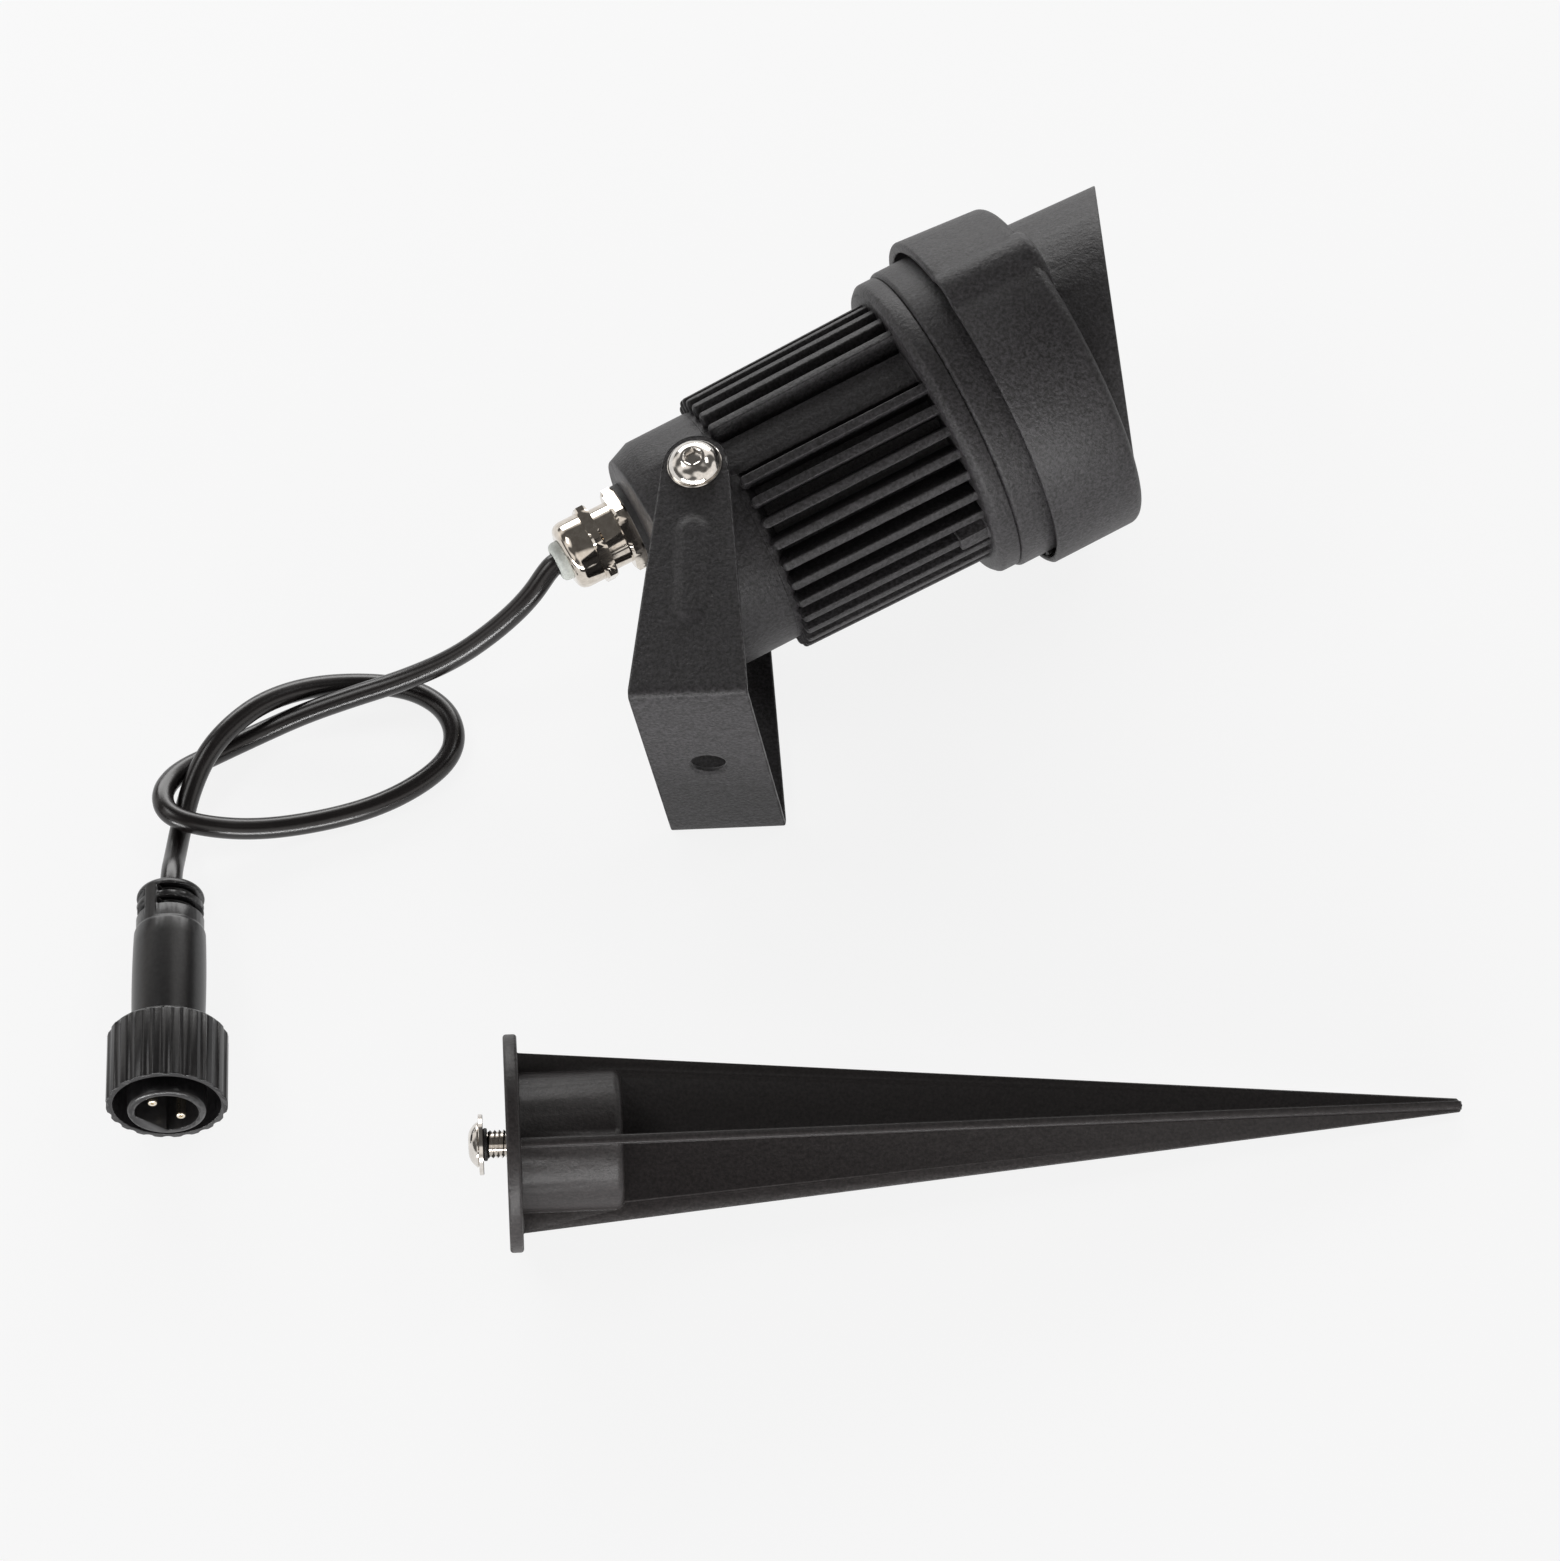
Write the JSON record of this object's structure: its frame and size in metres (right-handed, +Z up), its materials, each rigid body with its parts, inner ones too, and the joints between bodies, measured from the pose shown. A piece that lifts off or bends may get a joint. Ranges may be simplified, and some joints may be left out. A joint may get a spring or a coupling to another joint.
{
  "type": "garden spike spotlight",
  "caption": "Small low-voltage garden spotlight with finned body, hooded front, tilting bracket, ground spike taken off beside it, and a short cord with a screw-on connector.",
  "frame": {"origin": "on the table, under the middle of the box round the lamp and the spike, without the cord and its connector", "axes": "+Z up from the table; +X to the right and +Y away from the viewer, as the picture shows the parts laid out"},
  "size_m": [0.2385, 0.2032, 0.0672],
  "materials": {
    "black_powder_coat": "fine sand-textured black powder coat on sheet steel",
    "coated_aluminium": "fine sand-textured black powder coat on die-cast aluminium",
    "clear_silicone": "moulded silicone",
    "tempered_glass": "clear tempered glass",
    "bare_aluminium": "turned aluminium",
    "white_solder_mask": "white solder mask",
    "phosphor": "yellow phosphor under clear silicone",
    "stainless_steel": "polished stainless steel",
    "vacuum_metallised": "vacuum-metallised plastic",
    "green_board": "green solder mask",
    "component_black": "moulded components",
    "dark_rubber": "moulded rubber",
    "nickel_plate": "bright nickel-plated brass",
    "grey_rubber": "light grey moulded rubber",
    "black_spike_plastic": "moulded plastic with a fine grain",
    "black_nylon": "satin moulded nylon",
    "plated_contact": "plated contact pins",
    "black_pvc": "glossy black PVC sheath"
  },
  "bodies": {
    "root": {"lamp_housing": "coated_aluminium", "front_bezel": "coated_aluminium", "glass_gasket": "clear_silicone", "front_glass": "tempered_glass", "hood": "coated_aluminium", "heat_plate": "bare_aluminium", "led_board": "white_solder_mask", "led_chip": "phosphor", "board_screws": "stainless_steel", "reflector": "vacuum_metallised", "driver_board": "green_board", "driver_parts": "component_black", "gland_gasket": "dark_rubber", "gland_body": "nickel_plate", "gland_nut": "nickel_plate", "gland_seal": "grey_rubber", "pivot_screws": "stainless_steel", "pivot_washers": "stainless_steel", "ground_spike": "black_spike_plastic", "connector_body": "black_nylon", "connector_insert": "black_nylon", "connector_pins": "plated_contact", "connector_oring": "dark_rubber", "cord": "black_pvc"},
    "bracket": {"bracket": "black_powder_coat"},
    "coupling_nut": {"coupling_nut": "black_nylon"},
    "screw_slide": {"spike_washer": "stainless_steel", "washer_keeper": "dark_rubber"},
    "spike_screw": {"spike_screw": "stainless_steel"}
  },
  "joints": [
    {"name": "bracket_tilt", "type": "hinge", "parent": "root", "child": "bracket", "pos_m": [-0.0458, 0.0348, 0.02911], "axis": [-0.0502, -0.0571, 0.9971], "range_deg": [-50, 67]},
    {"name": "nut_turn", "type": "hinge", "parent": "root", "child": "coupling_nut", "pos_m": [-0.14209, -0.05618, 0.01067], "axis": [0.0817, -0.9942, 0.0698], "continuous": true},
    {"name": "screw_travel", "type": "slide", "parent": "root", "child": "screw_slide", "axis": [0.9908, 0.0849, -0.1057], "range_m": [-0.008, 0.0032]},
    {"name": "screw_turn", "type": "hinge", "parent": "screw_slide", "child": "spike_screw", "pos_m": [-0.08389, -0.08329, 0.0195], "axis": [0.9908, 0.0849, -0.1057], "range_deg": [-3650, 1461]}
  ],
  "couplings": [
    {"joint": "screw_turn", "follows": "screw_travel", "rad_per_m": 7854}
  ]
}
